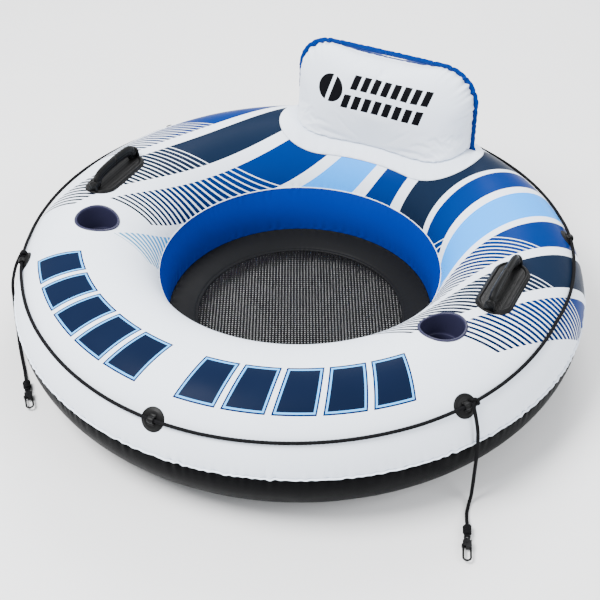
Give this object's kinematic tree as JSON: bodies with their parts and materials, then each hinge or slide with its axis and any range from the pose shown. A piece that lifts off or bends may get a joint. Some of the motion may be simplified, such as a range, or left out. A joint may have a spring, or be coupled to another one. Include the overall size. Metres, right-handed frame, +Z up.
{
  "type": "towable tube",
  "caption": "Round inflatable one-seat towable water tube with mesh floor, inflated backrest, cup holders, handles, grab rope and clip-on tow ropes.",
  "frame": {"origin": "centre of the ring on the surface it stands on", "axes": "+Z up, +Y towards the backrest, -Y is the front, +X to the right seen from the front"},
  "size_m": [1.357, 1.357, 0.5283],
  "materials": {
    "white_vinyl": "satin",
    "blue_vinyl": "satin",
    "black_vinyl": "satin",
    "navy_vinyl": "satin",
    "black_rubber": "matte",
    "black_cord": "braided",
    "black_mesh": "woven",
    "black_nylon": "satin"
  },
  "bodies": {
    "tube": {"tube_top_skin": "white_vinyl", "tube_inner_wall": "blue_vinyl", "tube_bottom_skin": "black_vinyl", "outer_seam": "black_vinyl", "inner_top_seam": "white_vinyl", "floor_seam": "black_vinyl", "seat_floor_border": "black_vinyl", "seat_mesh": "black_mesh", "mesh_weld_ring": "black_vinyl", "backrest_base_patch": "white_vinyl", "cup_holder_left": "navy_vinyl", "cup_holder_right": "navy_vinyl", "handle_base_left": "black_rubber", "handle_base_right": "black_rubber", "rope_patches": "black_vinyl", "rope_loops": "black_nylon", "grab_rope": "black_cord", "tow_rope_left": "black_cord", "tow_rope_right": "black_cord", "tow_knot_left": "black_cord", "tow_knot_right": "black_cord", "clip_eye_left": "black_nylon", "clip_eye_right": "black_nylon", "tube_valve": "black_vinyl"},
    "backrest": {"backrest_front_skin": "white_vinyl", "backrest_back_skin": "blue_vinyl", "backrest_seam": "blue_vinyl", "backrest_valve": "black_vinyl"},
    "grip_left": {"handle_grip_left": "black_rubber"},
    "grip_right": {"handle_grip_right": "black_rubber"},
    "hook_left": {"clip_hook_left": "black_nylon"},
    "hook_right": {"clip_hook_right": "black_nylon"},
    "gate_left": {"clip_gate_left": "black_nylon"},
    "gate_right": {"clip_gate_right": "black_nylon"},
    "tube_cap": {"tube_valve_cap": "black_vinyl"},
    "backrest_cap": {"backrest_valve_cap": "black_vinyl"}
  },
  "joints": [
    {"name": "backrest_tilt", "type": "hinge", "parent": "tube", "child": "backrest", "pos_m": [0, 0.489, 0.308], "axis": [1, 0, 0], "range_deg": [-16, 3], "stiffness_Nm_per_rad": 25},
    {"name": "grip_left_tilt", "type": "hinge", "parent": "tube", "child": "grip_left", "pos_m": [-0.505, -0.018, 0.322], "axis": [0, 1, 0], "range_deg": [-20, 20], "stiffness_Nm_per_rad": 0.6},
    {"name": "grip_right_tilt", "type": "hinge", "parent": "tube", "child": "grip_right", "pos_m": [0.505, -0.018, 0.322], "axis": [0, 1, 0], "range_deg": [-20, 20], "stiffness_Nm_per_rad": 0.6},
    {"name": "clip_left_swivel", "type": "hinge", "parent": "tube", "child": "hook_left", "pos_m": [-0.43954, -0.52394, 0.0106], "axis": [0.682, -0.7314, 0], "continuous": true},
    {"name": "clip_left_gate", "type": "hinge", "parent": "hook_left", "child": "gate_left", "pos_m": [-0.43879, -0.53691, 0.0106], "axis": [0, 0, 1], "range_deg": [0, 22], "stiffness_Nm_per_rad": 0.03, "springref_deg": -11.46},
    {"name": "clip_right_swivel", "type": "hinge", "parent": "tube", "child": "hook_right", "pos_m": [0.62075, -0.47501, 0.0106], "axis": [0.3584, -0.9336, 0], "continuous": true},
    {"name": "clip_right_gate", "type": "hinge", "parent": "hook_right", "child": "gate_right", "pos_m": [0.61659, -0.48732, 0.0106], "axis": [0, 0, 1], "range_deg": [0, 22], "stiffness_Nm_per_rad": 0.03, "springref_deg": -11.46},
    {"name": "tube_valve_cap_hinge", "type": "hinge", "parent": "tube", "child": "tube_cap", "pos_m": [-0.28944, 0.6207, 0.17735], "axis": [-0.9063, -0.4226, 0], "range_deg": [0, 120]},
    {"name": "backrest_valve_cap_hinge", "type": "hinge", "parent": "backrest", "child": "backrest_cap", "pos_m": [0, 0.57292, 0.367], "axis": [-1, 0, 0], "range_deg": [0, 120]}
  ]
}
